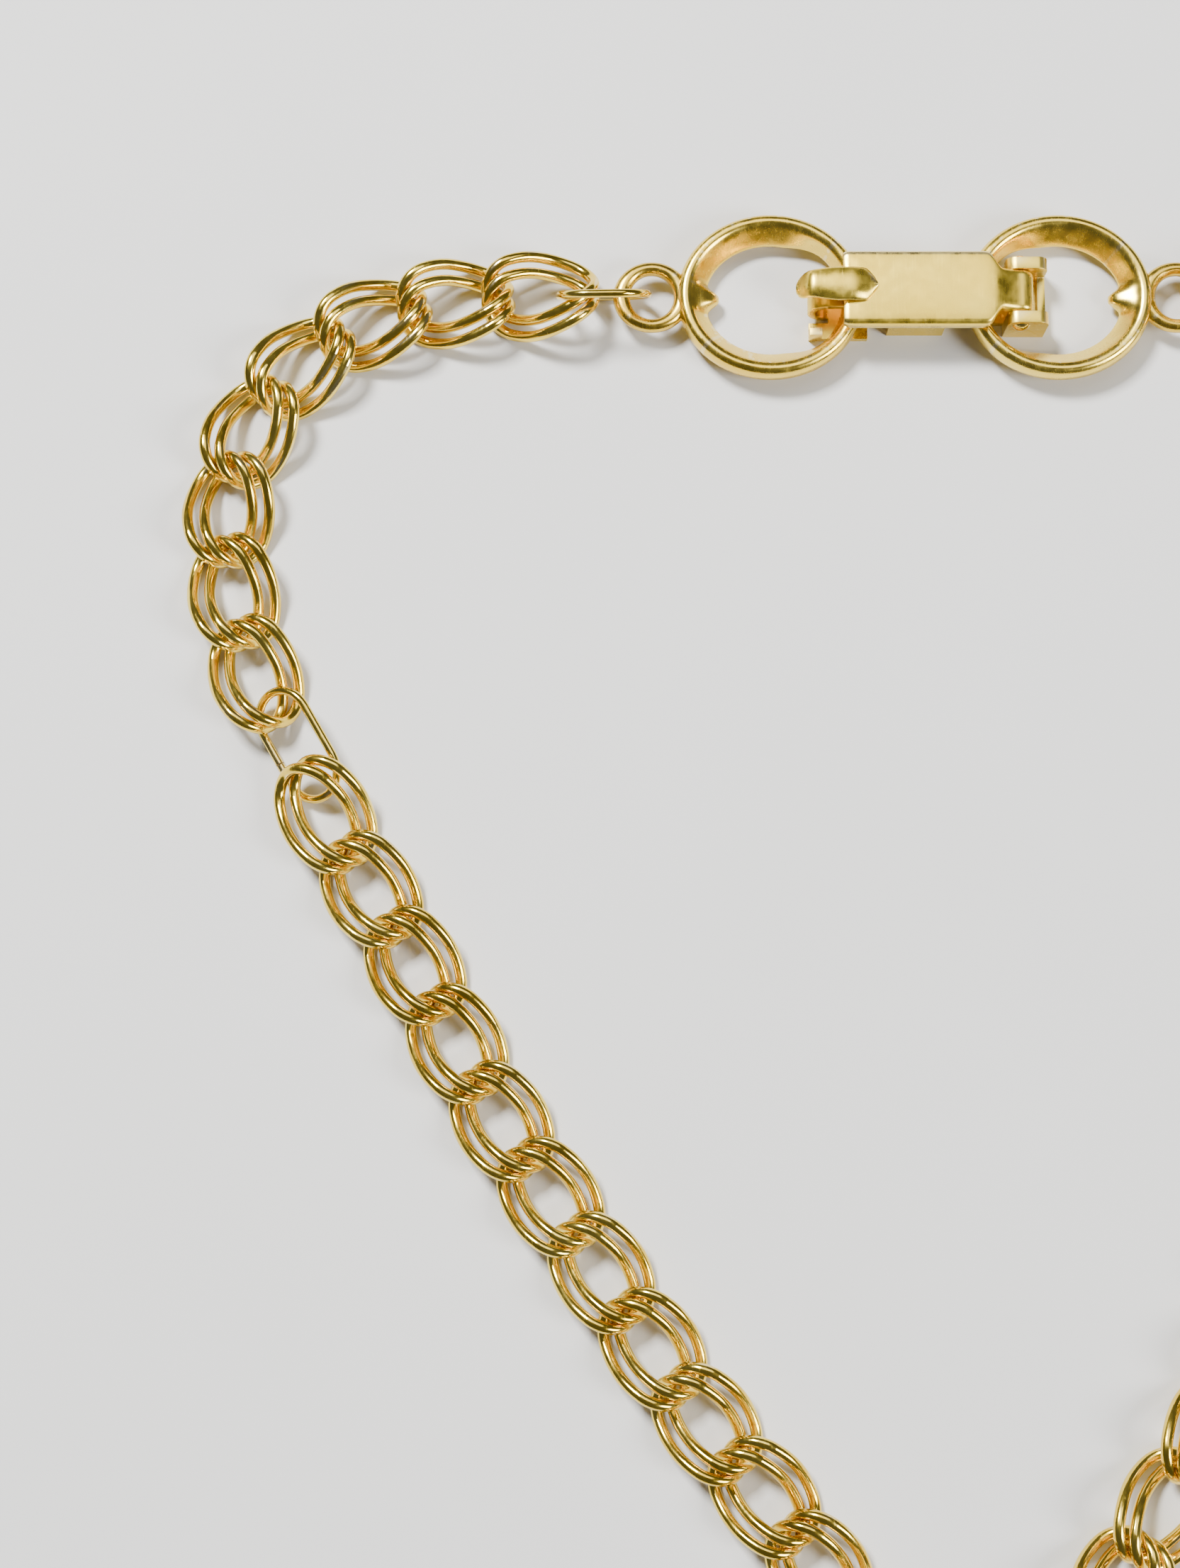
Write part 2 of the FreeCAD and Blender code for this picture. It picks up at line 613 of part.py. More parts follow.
def lifted(centre, angle, rise):
    """A pair turned up about its far hooking point, its near end on a jump ring's wire."""
    half = size("link_pitch") / 2
    far = centre + heading_vector(angle) * half
    tilt = math.asin(rise / (2 * half))
    middle = far - heading_vector(angle) * (half * math.cos(tilt))
    middle.z = far.z + half * math.sin(tilt)
    return pair_at(middle, angle, math.degrees(tilt))


def run_turns(drift, length, bend):
    """Turns of a lower run, with as many pairs before the bend as fit its length."""
    steps = round(length / size("link_pitch"))
    turns = (drift + [0] * steps)[:steps] + bend
    return turns + [0] * (RUN_PAIRS - 1 - len(turns))


def strand(word, sign, start_angle, turns, mid_angle, run_turns, groups):
    """All pairs and rings of one strand; groups says how pairs share a node."""
    half = size("link_pitch") / 2
    first = V(sign * (size("first_hook_x") + half), 0, CHAIN_HEIGHT)
    upper = walk(first, start_angle, turns)
    ring = place_ring("clasp", first, start_angle,
                      size("clasp_lap") - size("clasp_ring_length") - half, CLASP_ASIDE)
    node("clasp_ring_" + word, plain("clasp_ring_" + word, ring))
    pairs = [lifted(upper[0][0], upper[0][1], size("clasp_lift"))]
    pairs += [pair_at(c, a) for c, a in upper[1:]]
    last, angle = upper[-1]
    knot = last + heading_vector(angle) * half
    reach = size("mid_ring_length") - size("knot_lap")
    ring = place_ring("mid", knot, mid_angle, reach, MID_ASIDE)
    node("mid_ring_" + word, plain("mid_ring_" + word, ring))
    reach += size("mid_ring_length") - size("mid_lap")
    begin = knot + heading_vector(mid_angle) * (reach + half)
    lower = walk(begin, mid_angle, run_turns)
    pairs.append(lifted(lower[0][0], lower[0][1], size("mid_lift")))
    pairs += [pair_at(c, a) for c, a in lower[1:]]
    at = 0
    for name, count in groups:
        rings = sum(pairs[at:at + count], [])
        node(name, plain(name, Part.makeCompound(rings)))
        at += count
    assert at == len(pairs), "%s strand: %d pairs, %d grouped" % (word, len(pairs), at)
    return lower[-1]


left_groups = [("left_pair_%02d" % n, 1) for n in range(1, 21)]
left_groups += [("left_run_%d" % n, 6) for n in range(1, 6)]
right_groups = [("right_run_%d" % n, 4) for n in range(1, 5)]
right_groups += [("right_pair_%02d" % n, 1) for n in range(17, 20)]
right_groups += [("right_run_%d" % n, 6) for n in range(5, 9)] + [("right_run_9", 7)]
left_end = strand("left", -1, 181.0, LEFT_TURNS, 300.0,
                  run_turns(LEFT_DRIFT, LEFT_DRIFT_LENGTH, LEFT_BEND), left_groups)
right_end = strand("right", 1, -1.0, RIGHT_TURNS, -117.0,
                   run_turns(RIGHT_DRIFT, RIGHT_DRIFT_LENGTH, RIGHT_BEND), right_groups)


# ------------------------------------------------------------- temple fittings
def stadium(half_y, half_z, x0, length):
    """Flat-sided bar with round edges, along X."""
    flat = half_y - half_z
    a, b = V(x0, -flat, half_z), V(x0, flat, half_z)
    c, d = V(x0, flat, -half_z), V(x0, -flat, -half_z)
    wire = Part.Wire([line(a, b), arc3(b, V(x0, half_y, 0), c), line(c, d),
                      arc3(d, V(x0, -half_y, 0), a)])
    return Part.Face(wire).extrude(V(length, 0, 0))


def cap_shape():
    """End cap: eye in front, two blind sockets behind for the cord's legs."""
    eye = size("cap_eye_radius")
    front = eye - 0.2
    body = stadium(size("cap_half_width"), size("cap_half_height"), front, size("cap_length"))
    rims = [e for e in body.Edges if e.BoundBox.XLength < 1e-6]
    body = body.makeFillet(0.3, rims)
    torus = Part.makeTorus(eye, size("cap_eye_wire") / 2)
    # the eye's back half is buried in the cap, so the window stays clear
    window = Part.makeCylinder(eye - size("cap_eye_wire") / 2 - 0.01, 4, V(0, 0, -2))
    body = body.fuse(torus).cut(window)
    mouth = front + size("cap_length") - size("cap_socket")
    for side in (-1, 1):
        hole = Part.makeCylinder(size("loop_wire") / 2 + size("cap_fit"), 10,
                                 V(mouth, side * size("leg_spacing"), 0), V(1, 0, 0))
        body = body.cut(hole)
    return body.removeSplitter()


def loop_shape():
    """Teardrop of round cord whose legs sit in the cap's sockets."""
    start = size("cap_eye_radius") - 0.2 + size("cap_length") - size("cap_socket")
    leg = size("leg_spacing")
    bend = start + size("leg_length")
    radius = size("loop_flare_radius")
    flare = math.radians(size("loop_flare_angle"))
    p1 = V(bend, leg, 0)
    p1m = V(bend + radius * math.sin(flare / 2), leg + radius * (1 - math.cos(flare / 2)), 0)
    p2 = V(bend + radius * math.sin(flare), leg + radius * (1 - math.cos(flare)), 0)
    nose = p2.y / math.cos(flare)
    centre = V(p2.x + nose * math.sin(flare), 0, 0)
    tip = centre + V(nose, 0, 0)

    def flip(p):
        return V(p.x, -p.y, p.z)

    edges = [line(V(start, leg, 0), p1), arc3(p1, p1m, p2), arc3(p2, tip, flip(p2)),
             arc3(flip(p2), flip(p1m), flip(p1)), line(flip(p1), V(start, -leg, 0))]
    return tube_along(edges, size("loop_wire"))


def bead_shape():
    """Slide bead: oblong tube round both legs of the cord."""
    mouth = size("cap_eye_radius") - 0.2 + size("cap_length") + size("bead_gap")
    body = stadium(size("cap_half_width"), size("cap_half_height"), mouth, size("bead_length"))
    rims = [e for e in body.Edges if e.BoundBox.XLength < 1e-6]
    body = body.makeFillet(0.25, rims)
    reach = size("loop_wire") / 2 + size("bead_clear")
    slot = stadium(size("leg_spacing") + reach, reach, mouth - 1, size("bead_length") + 2)
    return body.cut(slot)


for word, (centre, angle) in (("left", left_end), ("right", right_end)):
    reach = size("link_pitch") / 2 + size("end_ring_length") - size("knot_lap")
    ring = place_ring("end", centre, angle, reach, END_ASIDE)
    node("end_ring_" + word, plain("end_ring_" + word, ring))
    reach += size("end_ring_length") - size("cap_lap") + size("cap_eye_radius")
    seat = centre + heading_vector(angle) * reach
    for kind, make in (("end_cap", cap_shape), ("temple_loop", loop_shape),
                       ("slide_bead", bead_shape)):
        piece = plain("%s_%s" % (kind, word), make())
        piece.Placement = FreeCAD.Placement(V(seat.x, seat.y, size("cap_half_height") + 0.01),
                                            FreeCAD.Rotation(UP, angle))
        node("%s_%s" % (kind, word), piece)

# --------------------------------------------------------------- check, export
doc.recompute()
for obj in doc.Objects:
    if "Invalid" in obj.State or "Error" in obj.State:
        raise RuntimeError("%s did not recompute: %s" % (obj.Name, obj.State))
os.makedirs("parts", exist_ok=True)
for name, obj in NODES:
    shape = obj.Shape
    if shape.isNull() or not shape.isValid() or not shape.Solids:
        raise RuntimeError("%s has no valid solid" % name)
    shape.exportStep("parts/%s.step" % name)
print("%d nodes" % len(NODES))
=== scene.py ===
import json
import math

import bmesh
import bpy
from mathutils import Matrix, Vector


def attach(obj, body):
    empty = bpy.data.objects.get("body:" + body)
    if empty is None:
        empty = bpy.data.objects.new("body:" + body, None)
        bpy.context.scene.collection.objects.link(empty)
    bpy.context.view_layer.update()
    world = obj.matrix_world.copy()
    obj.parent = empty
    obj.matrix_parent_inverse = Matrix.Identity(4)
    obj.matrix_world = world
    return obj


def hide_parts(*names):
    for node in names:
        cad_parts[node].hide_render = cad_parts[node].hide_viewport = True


# Looks of the eyeglasses chain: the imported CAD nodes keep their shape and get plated-metal
# finishes. The cover, the two cast frames and their eyes are modelled again as meshes.
# Lengths in the mesh code are in millimetres and are scaled once, in mesh_object.

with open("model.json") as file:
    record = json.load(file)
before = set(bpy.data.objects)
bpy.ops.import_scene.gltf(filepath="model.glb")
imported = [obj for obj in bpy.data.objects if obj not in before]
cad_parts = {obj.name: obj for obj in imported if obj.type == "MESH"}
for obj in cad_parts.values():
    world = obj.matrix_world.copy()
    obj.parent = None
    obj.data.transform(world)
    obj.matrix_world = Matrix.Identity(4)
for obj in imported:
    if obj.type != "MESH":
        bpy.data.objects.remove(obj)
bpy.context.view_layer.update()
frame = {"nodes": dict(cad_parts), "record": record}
MM = 0.001


# ------------------------------------------------------------------- materials
def new_material(name):
    made = bpy.data.materials.new(name)
    made.use_nodes = True
    made.node_tree.nodes.clear()
    return made, made.node_tree.nodes, made.node_tree.links


def noise(nodes, links, where, scale, detail=3.0, rough=0.5):
    """Noise texture in object space; scale is features per metre."""
    texture = nodes.new("ShaderNodeTexNoise")
    texture.inputs["Scale"].default_value = scale
    texture.inputs["Detail"].default_value = detail
    texture.inputs["Roughness"].default_value = rough
    links.new(where, texture.inputs["Vector"])
    return texture.outputs["Fac"]


def stretched(nodes, links, where, factors, turn=0.0):
    """Coordinates pulled out in one direction, for drawn or brushed marks."""
    mapping = nodes.new("ShaderNodeMapping")
    mapping.inputs["Scale"].default_value = factors
    mapping.inputs["Rotation"].default_value = (0.0, 0.0, turn)
    links.new(where, mapping.inputs["Vector"])
    return mapping.outputs["Vector"]


def ranged(nodes, links, value, low, high, to_low, to_high):
    remap = nodes.new("ShaderNodeMapRange")
    for label, number in (("From Min", low), ("From Max", high),
                          ("To Min", to_low), ("To Max", to_high)):
        remap.inputs[label].default_value = number
    links.new(value, remap.inputs["Value"])
    return remap.outputs["Result"]


def blended(nodes, links, factor, first, second):
    """Colour mix; first and second are colours or sockets."""
    mix = nodes.new("ShaderNodeMix")
    mix.data_type = "RGBA"
    links.new(factor, mix.inputs["Factor"])
    for socket, value in ((mix.inputs["A"], first), (mix.inputs["B"], second)):
        if isinstance(value, tuple):
            socket.default_value = value + (1.0,)
        else:
            links.new(value, socket)
    return mix.outputs["Result"]


def summed(nodes, links, first, second, operation="ADD"):
    node = nodes.new("ShaderNodeMath")
    node.operation = operation
    links.new(first, node.inputs[0])
    links.new(second, node.inputs[1])
    return node.outputs[0]


def plated(name, light, deep, roughness, wave=0.35, scratch_turn=0.5, scratch=0.25):
    """Polished gold plate: uneven tone, hairline scratches, painted shade darkening the folds,
    worn edges.

    light and deep are the plate's two tones, roughness its polish, wave the height of
    the slow unevenness that a tumbled wire keeps, scratch the depth of the hairlines.
    """
    made, nodes, links = new_material(name)
    where = nodes.new("ShaderNodeTexCoord").outputs["Object"]
    shader = nodes.new("ShaderNodeBsdfPrincipled")
    shader.inputs["Metallic"].default_value = 1.0
    out = nodes.new("ShaderNodeOutputMaterial")
    links.new(shader.outputs[0], out.inputs["Surface"])

    tone = ranged(nodes, links, noise(nodes, links, where, 260.0, 4.0), 0.35, 0.65, 0.0, 1.0)
    colour = blended(nodes, links, tone, deep, light)
    edge = nodes.new("ShaderNodeNewGeometry").outputs["Pointiness"]
    # painted shade: concave spots (low pointiness) take a darker copy of the deep tone
    fold_shade_mask = ranged(nodes, links, edge, 0.44, 0.50, 1.0, 0.0)
    painted_fold_shade = tuple(c * k for c, k in zip(deep, (0.62, 0.52, 0.42)))
    colour = blended(nodes, links, fold_shade_mask, colour, painted_fold_shade)
    worn = ranged(nodes, links, edge, 0.53, 0.60, 0.0, 0.55)
    pale = tuple(min(1.0, c * 0.6 + 0.4) for c in light)
    colour = blended(nodes, links, worn, colour, pale)
    links.new(colour, shader.inputs["Base Color"])

    along = stretched(nodes, links, where, (9000.0, 420.0, 9000.0), scratch_turn)
    hair = noise(nodes, links, along, 1.0, 2.0, 0.6)
    cloud = noise(nodes, links, where, 1500.0, 3.0)
    polish = ranged(nodes, links, cloud, 0.3, 0.7, roughness * 0.75, roughness * 1.35)
    rubbed = ranged(nodes, links, hair, 0.55, 0.75, 0.0, 0.10)
    links.new(summed(nodes, links, polish, rubbed), shader.inputs["Roughness"])

    slow = noise(nodes, links, where, 480.0, 1.0)
    height = summed(nodes, links,
                    ranged(nodes, links, slow, 0.0, 1.0, 0.0, wave),
                    ranged(nodes, links, hair, 0.5, 0.8, 0.0, 0.04 * scratch))
    bump = nodes.new("ShaderNodeBump")
    bump.inputs["Strength"].default_value = 0.55
    bump.inputs["Distance"].default_value = 0.06 * MM
    links.new(height, bump.inputs["Height"])
    links.new(bump.outputs["Normal"], shader.inputs["Normal"])
    return made


def elastomer(name, tint):
    """Translucent moulded silicone: slight haze, dust and a soft sheen."""
    made, nodes, links = new_material(name)
    where = nodes.new("ShaderNodeTexCoord").outputs["Object"]
    shader = nodes.new("ShaderNodeBsdfPrincipled")
    shader.inputs["Subsurface Weight"].default_value = 0.25
    shader.inputs["Subsurface Radius"].default_value = (0.9 * MM, 0.7 * MM, 0.6 * MM)
    shader.inputs["Subsurface Scale"].default_value = 1.0
    shader.inputs["Sheen Weight"].default_value = 0.15
    out = nodes.new("ShaderNodeOutputMaterial")
    links.new(shader.outputs[0], out.inputs["Surface"])
    cloud = noise(nodes, links, where, 700.0, 4.0)
    darker = tuple(c * 0.72 for c in tint)
    links.new(blended(nodes, links, cloud, darker, tint), shader.inputs["Base Color"])
    links.new(ranged(nodes, links, noise(nodes, links, where, 2600.0), 0.3, 0.7, 0.38, 0.62),
              shader.inputs["Roughness"])
    bump = nodes.new("ShaderNodeBump")
    bump.inputs["Strength"].default_value = 0.3
    bump.inputs["Distance"].default_value = 0.03 * MM
    links.new(noise(nodes, links, where, 5200.0, 2.0), bump.inputs["Height"])
    links.new(bump.outputs["Normal"], shader.inputs["Normal"])
    return made


LEMON = (0.94, 0.70, 0.12)
HONEY = (0.82, 0.55, 0.06)
FINISHES = {
    "chain_gold": plated("chain_plate", LEMON, HONEY, 0.16, wave=0.5),
    "cast_gold": plated("cast_plate", (0.94, 0.70, 0.13), (0.86, 0.58, 0.07), 0.22, wave=0.7),
    "sheet_gold": plated("sheet_plate", (0.90, 0.67, 0.10), (0.86, 0.61, 0.07), 0.30,
                         wave=0.15, scratch_turn=0.15, scratch=1.0),
    "pin_gold": plated("pin_plate", (0.94, 0.70, 0.14), (0.84, 0.57, 0.08), 0.18),
    "jump_gold": plated("jump_plate", (0.93, 0.69, 0.13), (0.80, 0.54, 0.06), 0.15),
    "fitting_gold": plated("fitting_plate", (0.93, 0.69, 0.13), (0.82, 0.56, 0.07), 0.22,
                           wave=0.6),
    "loop_rubber": elastomer("loop_silicone", (0.10, 0.10, 0.11)),
}


def finish_nodes():
    """Each CAD node takes the finish of its own slot."""
    slot_of = {s["node"]: s["material_slot"] for s in frame["record"]["subparts"]}
    for name, obj in frame["nodes"].items():
        obj.data.materials.clear()
        obj.data.materials.append(FINISHES[slot_of[name]])


def soften_edges(name, width):
    """Pressed sheet has no knife edges: the node's own mesh gets small rounded edges."""
    obj = frame["nodes"][name]
    weld = obj.modifiers.new("weld", "WELD")
    weld.merge_threshold = 0.00002 * MM
    bevel = obj.modifiers.new("edges", "BEVEL")
    bevel.width = width
    bevel.segments = 3
    bevel.limit_method = "ANGLE"
    bevel.angle_limit = math.radians(40)
    bevel.use_clamp_overlap = True
    obj.modifiers.new("even", "WEIGHTED_NORMAL")


finish_nodes()
soften_edges("clasp_base", 0.07 * MM)
soften_edges("keeper_strap", 0.05 * MM)


# ------------------------------------------------------- cast frames and eyes
FRAME_HALF = (5.5, 5.0)
FRAME_X = 8.45
FRAME_FLOOR, FRAME_TOP = 0.66, 2.06
# the rim in section: how far in from the outside, and how high from floor (0) to top (1)
RIM = ((0.30, 0.0), (0.06, 0.16), (0.0, 0.42), (0.05, 0.72), (0.22, 0.93), (0.48, 1.0),
       (0.74, 0.95), (0.92, 0.82))
# the sloping inner wall in section: share of the way from the band to the inner edge, height
RIM_INSIDE = ((0.42, 0.52), (0.86, 0.22), (1.0, 0.08), (0.88, 0.0))
RIM_BAND = 0.92
WALL_REACH, CLASP_TRIM = 1.72, 0.47
GUSSET_REACH, GUSSET_SPREAD, GUSSET_LIFT = 0.85, 0.20, 0.25
FRAME_STEPS = 120

EYE_X, EYE_Z = 15.42, 1.26
EYE_HALF = (1.78, 1.74)
EYE_WIRE, EYE_WIRE_SWELL, EYE_WIRE_HEIGHT = 0.47, 0.05, 0.46
EYE_STEPS, EYE_SECTION = 72, 12


def eased(value, low, high):
    """0 below low, 1 above high, and a smooth step between."""
    t = min(1.0, max(0.0, (value - low) / (high - low)))
    return t * t * (3 - 2 * t)


def mesh_object(name, points, faces, slot, levels):
    """A smooth-shaded object with the slot's finish; levels is its subdivision."""
    mesh = bpy.data.meshes.new(name)
    mesh.from_pydata([tuple(c * MM for c in p) for p in points], [], faces)
    mesh.update()
    for face in mesh.polygons:
        face.use_smooth = True
    obj = bpy.data.objects.new(name, mesh)
    bpy.context.scene.collection.objects.link(obj)
    obj.data.materials.append(FINISHES[slot])
    if levels:
        rounder = obj.modifiers.new("round", "SUBSURF")
        rounder.levels = rounder.render_levels = levels
    return obj


def swept(rings, closed=True):
    """Faces joining equal rings of points one after the other, as one closed skin."""
    count, size = len(rings), len(rings[0])
    faces = []
    for k in range(count if closed else count - 1):
        for j in range(size):
            a, b = k * size + j, k * size + (j + 1) % size
            c = ((k + 1) % count) * size + (j + 1) % size
            d = ((k + 1) % count) * size + j
            faces.append((a, b, c, d))
    return [p for ring in rings for p in ring], faces


def frame_piece(side):
    """Oval cast frame: round crest near the outside, inner wall sloping in, small gusset."""
    sign = -1 if side == "left" else 1
    rings = []
    for k in range(FRAME_STEPS):
        angle = 2 * math.pi * k / FRAME_STEPS
        out_x, out_y = FRAME_HALF[0] * math.cos(angle), FRAME_HALF[1] * math.sin(angle)
        normal = Vector((math.cos(angle) / FRAME_HALF[0], math.sin(angle) / FRAME_HALF[1], 0))
        normal.normalize()
        near_clasp = eased(-math.cos(angle), 0.15, 0.75)
        off_axis = (angle + math.pi) % (2 * math.pi) - math.pi
        gusset = math.exp(-(off_axis / GUSSET_SPREAD) ** 4)
        inside = WALL_REACH - CLASP_TRIM * near_clasp + GUSSET_REACH * gusset
        ring = list(RIM)
        for share, height in RIM_INSIDE:
            raised = GUSSET_LIFT * gusset * (1 - height) if height > 0.1 else 0.0
            ring.append((RIM_BAND + (inside - RIM_BAND) * share, height + raised))
        rings.append([(sign * (FRAME_X + out_x - normal.x * d), out_y - normal.y * d,
                       FRAME_FLOOR + (FRAME_TOP - FRAME_FLOOR) * h) for d, h in ring])
    points, faces = swept(rings)
    if sign > 0:
        faces = [tuple(reversed(f)) for f in faces]
    obj = mesh_object("cast_frame_" + side, points, faces, "cast_gold", levels=2)
    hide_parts("frame_" + side)
    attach(obj, "frame_" + side)


def eye_piece(side):
    """Soldered eye: a thick round ring sunk into the frame's outer rim."""
    sign = -1 if side == "left" else 1
    rings = []
    for k in range(EYE_STEPS):
        angle = 2 * math.pi * k / EYE_STEPS
        wire = EYE_WIRE + EYE_WIRE_SWELL * math.cos(angle * 2)
        across = Vector((math.cos(angle), math.sin(angle), 0))
        centre = Vector((EYE_X + EYE_HALF[0] * math.cos(angle),
                         EYE_HALF[1] * math.sin(angle), EYE_Z))
        ring = []
        for j in range(EYE_SECTION):
            turn = 2 * math.pi * j / EYE_SECTION
            rise = Vector((0, 0, EYE_WIRE_HEIGHT * math.sin(turn)))
            p = centre + across * (wire * math.cos(turn)) + rise
            ring.append((sign * p.x, p.y, p.z))
        rings.append(ring)
    points, faces = swept(rings)
    if sign < 0:
        faces = [tuple(reversed(f)) for f in faces]
    obj = mesh_object("cast_eye_" + side, points, faces, "cast_gold", levels=1)
    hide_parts("eye_" + side)
    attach(obj, "frame_" + side)


for which in ("left", "right"):
    frame_piece(which)
    eye_piece(which)


# ------------------------------------------------------------- pressed cover
COVER_LEFT, COVER_TOP, COVER_SHEET, FLANGE_DROP = -4.30, 3.17, 0.40, 0.36
COVER_HALF, NECK_TAPER, CORNER = 2.25, 0.98, 0.34
PIN_X, PIN_Z, KNUCKLE = 6.12, 1.95, 0.75
PLATE_STEPS, CURL_STEPS, CURL_STEP_DEG = 60, 12, 10.5

TONGUE_ROOT, TONGUE_RUN, TONGUE_HALF = -2.35, 4.70, 1.02
TONGUE_SHEET, TONGUE_RISE, TONGUE_FALL, TONGUE_BOW = 0.40, 0.34, 0.95, 0.14
TONGUE_STEPS, TONGUE_SECTION = 46, 20


def cover_path():
    """(x, z, lean) along the outside of the sheet; lean is the surface's slope angle."""
    path = []
    for k in range(PLATE_STEPS + 1):
        x = COVER_LEFT + k * (PIN_X - COVER_LEFT) / PLATE_STEPS
        drop = eased(x, 4.5, PIN_X)
        path.append([x, COVER_TOP - (COVER_TOP - PIN_Z - KNUCKLE) * drop])
    for k in range(1, CURL_STEPS + 1):
        turn = math.radians(CURL_STEP_DEG * k)
        path.append([PIN_X + KNUCKLE * math.sin(turn), PIN_Z + KNUCKLE * math.cos(turn)])
    leans = []
    for k in range(len(path)):
        a, b = path[max(0, k - 1)], path[min(len(path) - 1, k + 1)]
        leans.append(math.atan2(b[1] - a[1], b[0] - a[0]))
    return [(x, z, lean) for (x, z), lean in zip(path, leans)]


def sheet_section(half, flange, dome, sheet):
    """(y, height) round a pressed sheet: over its top, then back along its underside."""
    flat = half - CORNER
    top = []
    for k in range(6):
        turn = math.radians(18 * k)
        top.append((flat + CORNER * math.cos(turn), -CORNER + CORNER * math.sin(turn)))
    crown = [flat * (1 - k / 5.0) for k in range(1, 6)]
    top += [(y, dome * (1 - (y / flat) ** 2)) for y in crown]
    outside = [(half, -flange)] + top
    outside += [(-y, z) for y, z in reversed(outside[:-1])]
    inner = half - sheet
    inside = [(inner, -flange), (inner, -sheet - 0.12), (inner - 0.10, -sheet - 0.02)]
    inside += [(inner * share, -sheet + 0.5 * dome) for share in (0.7, 0.35, 0.0)]
    inside += [(-y, z) for y, z in reversed(inside[:-1])]
    return outside + list(reversed(inside))


def ring_at(x, z, lean, section):
    up = (-math.sin(lean), math.cos(lean))
    return [(x + up[0] * h, y, z + up[1] * h) for y, h in section]


def capped(rings):
    points, faces = swept(rings, closed=False)
    size = len(rings[0])
    faces.append(tuple(range(size)))
    faces.append(tuple(reversed(range(len(points) - size, len(points)))))
    return points, faces


def cover_plate():
    rings = []
    for x, z, lean in cover_path():
        half = (COVER_HALF - 0.07 * (1 - eased(x, COVER_LEFT, -4.02))
                - NECK_TAPER * eased(x, 4.05, 5.05))
        flange = COVER_SHEET + FLANGE_DROP * (1 - eased(x, 3.7, 4.4)) * eased(x, -4.4, -3.9)
        dome = 0.07 * eased(x, COVER_LEFT, -3.2) * (1 - eased(x, 4.0, 5.2))
        edge = 0.10 * (1 - eased(x, COVER_LEFT, -4.12))
        rings.append(ring_at(x, z - edge, lean, sheet_section(half, flange, dome, COVER_SHEET)))
    return capped(rings)


def cover_tongue():
    """Raised thumb spoon: leaves the plate, runs out over the hook and turns down."""
    rings = []
    for k in range(TONGUE_STEPS + 1):
        t = k / TONGUE_STEPS
        x = TONGUE_ROOT - TONGUE_RUN * math.sin(min(1.0, t * 1.02) * math.pi / 2)
        rise = TONGUE_RISE * eased(-x, -TONGUE_ROOT, 3.9)
        fall = TONGUE_FALL * eased(-x, 5.9, 7.1) ** 1.6
        half = TONGUE_HALF - 0.22 * eased(-x, 4.6, 6.6)
        half *= math.sqrt(max(0.02, 1 - max(0.0, (-x - 6.35) / 0.72) ** 2))
        half *= math.sqrt(max(0.03, min(1.0, (-x - 2.33) / 0.7)))
        thick = TONGUE_SHEET * (0.35 + 0.65 * (1 - eased(-x, 6.6, 7.1))) + 0.02
        middle_z = COVER_TOP - 0.10 + rise - fall
        ring = []
        for j in range(TONGUE_SECTION):
            turn = 2 * math.pi * j / TONGUE_SECTION
            y = half * math.copysign(abs(math.cos(turn)) ** 0.7, math.cos(turn))
            up = 0.5 * thick * math.copysign(abs(math.sin(turn)) ** 0.8, math.sin(turn))
            bow = TONGUE_BOW * (1 - (y / half) ** 2) if turn < math.pi else 0.0
            ring.append((x, y + 0.10, middle_z + up + bow))
        rings.append(ring)
    return capped(rings)


def cover_piece():
    points, faces = cover_plate()
    more, extra = cover_tongue()
    shift = len(points)
    faces += [tuple(i + shift for i in face) for face in extra]
    obj = mesh_object("pressed_cover", points + more, faces, "sheet_gold", levels=0)
    fix_normals(obj)
    obj.data.set_sharp_from_angle(angle=math.radians(48))
    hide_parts("clasp_cover")
    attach(obj, "cover")


def fix_normals(obj):
    build = bmesh.new()
    build.from_mesh(obj.data)
    bmesh.ops.recalc_face_normals(build, faces=build.faces)
    build.to_mesh(obj.data)
    build.free()


cover_piece()


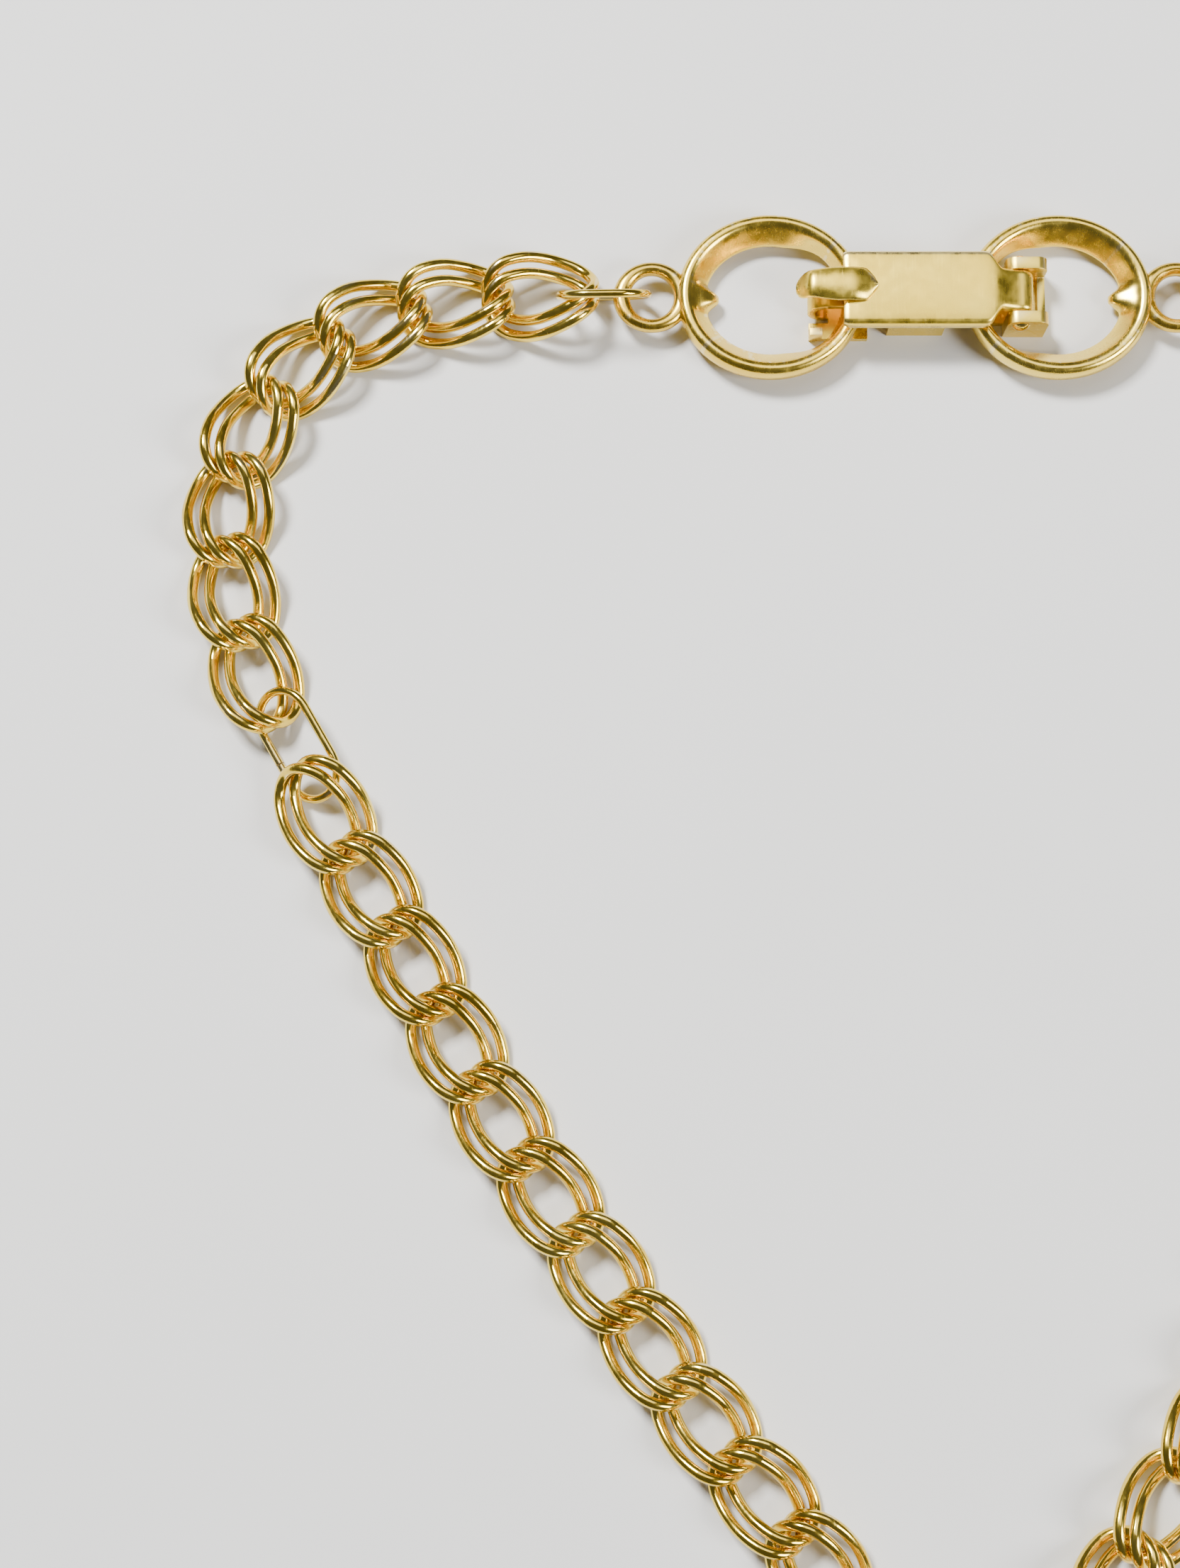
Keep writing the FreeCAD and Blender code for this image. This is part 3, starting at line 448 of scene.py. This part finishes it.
# ----------------------------------------------------------- floor and lights
def surface(name, tint, roughness):
    made, nodes, links = new_material(name)
    where = nodes.new("ShaderNodeTexCoord").outputs["Object"]
    shader = nodes.new("ShaderNodeBsdfPrincipled")
    shader.inputs["Roughness"].default_value = roughness
    out = nodes.new("ShaderNodeOutputMaterial")
    links.new(shader.outputs[0], out.inputs["Surface"])
    cloud = ranged(nodes, links, noise(nodes, links, where, 40.0), 0.3, 0.7, 0.0, 1.0)
    links.new(blended(nodes, links, cloud, tuple(c * 0.97 for c in tint), tint),
              shader.inputs["Base Color"])
    return made


def add_floor():
    mesh = bpy.data.meshes.new("floor")
    mesh.from_pydata([(-4, -4, 0), (4, -4, 0), (4, 4, 0), (-4, 4, 0)], [], [(0, 1, 2, 3)])
    floor = bpy.data.objects.new("floor", mesh)
    bpy.context.scene.collection.objects.link(floor)
    floor.data.materials.append(surface("floor_paper", (0.66, 0.655, 0.64), 0.8))


def add_softbox(name, place, target, size, watts, tint=(1.0, 1.0, 1.0)):
    light = bpy.data.lights.new(name, "AREA")
    light.shape = "RECTANGLE"
    light.size, light.size_y = size
    light.energy = watts
    light.color = tint
    obj = bpy.data.objects.new(name, light)
    obj.location = place
    obj.rotation_euler = (Vector(target) - Vector(place)).to_track_quat("-Z", "Y").to_euler()
    bpy.context.scene.collection.objects.link(obj)


def add_world():
    world = bpy.data.worlds.new("studio")
    world.use_nodes = True
    world.node_tree.nodes["Background"].inputs["Color"].default_value = (0.50, 0.52, 0.56, 1.0)
    world.node_tree.nodes["Background"].inputs["Strength"].default_value = 0.20
    bpy.context.scene.world = world


def add_camera():
    """Close view from above, tipped nine degrees, clasp in the upper right."""
    camera = bpy.data.cameras.new("camera")
    camera.sensor_width = 36.0
    camera.sensor_fit = "HORIZONTAL"
    camera.lens = 79.6
    camera.clip_start = 0.005
    obj = bpy.data.objects.new("camera", camera)
    obj.location = (-19.05 * MM, -52.2 * MM, 148.2 * MM)
    obj.rotation_euler = (math.radians(9.0), 0.0, 0.0)
    bpy.context.scene.collection.objects.link(obj)
    bpy.context.scene.camera = obj


add_floor()
add_world()
middle = (-0.010, -0.050, 0.0)
add_softbox("panel", (0.10, 0.33, 0.85), middle, (0.62, 0.50), 2.4, (1.0, 0.98, 0.94))
add_softbox("key", (-0.22, 0.22, 0.42), middle, (0.12, 0.12), 7.0)
add_softbox("fill", (0.42, -0.22, 0.36), middle, (0.20, 0.28), 4.0)
add_camera()
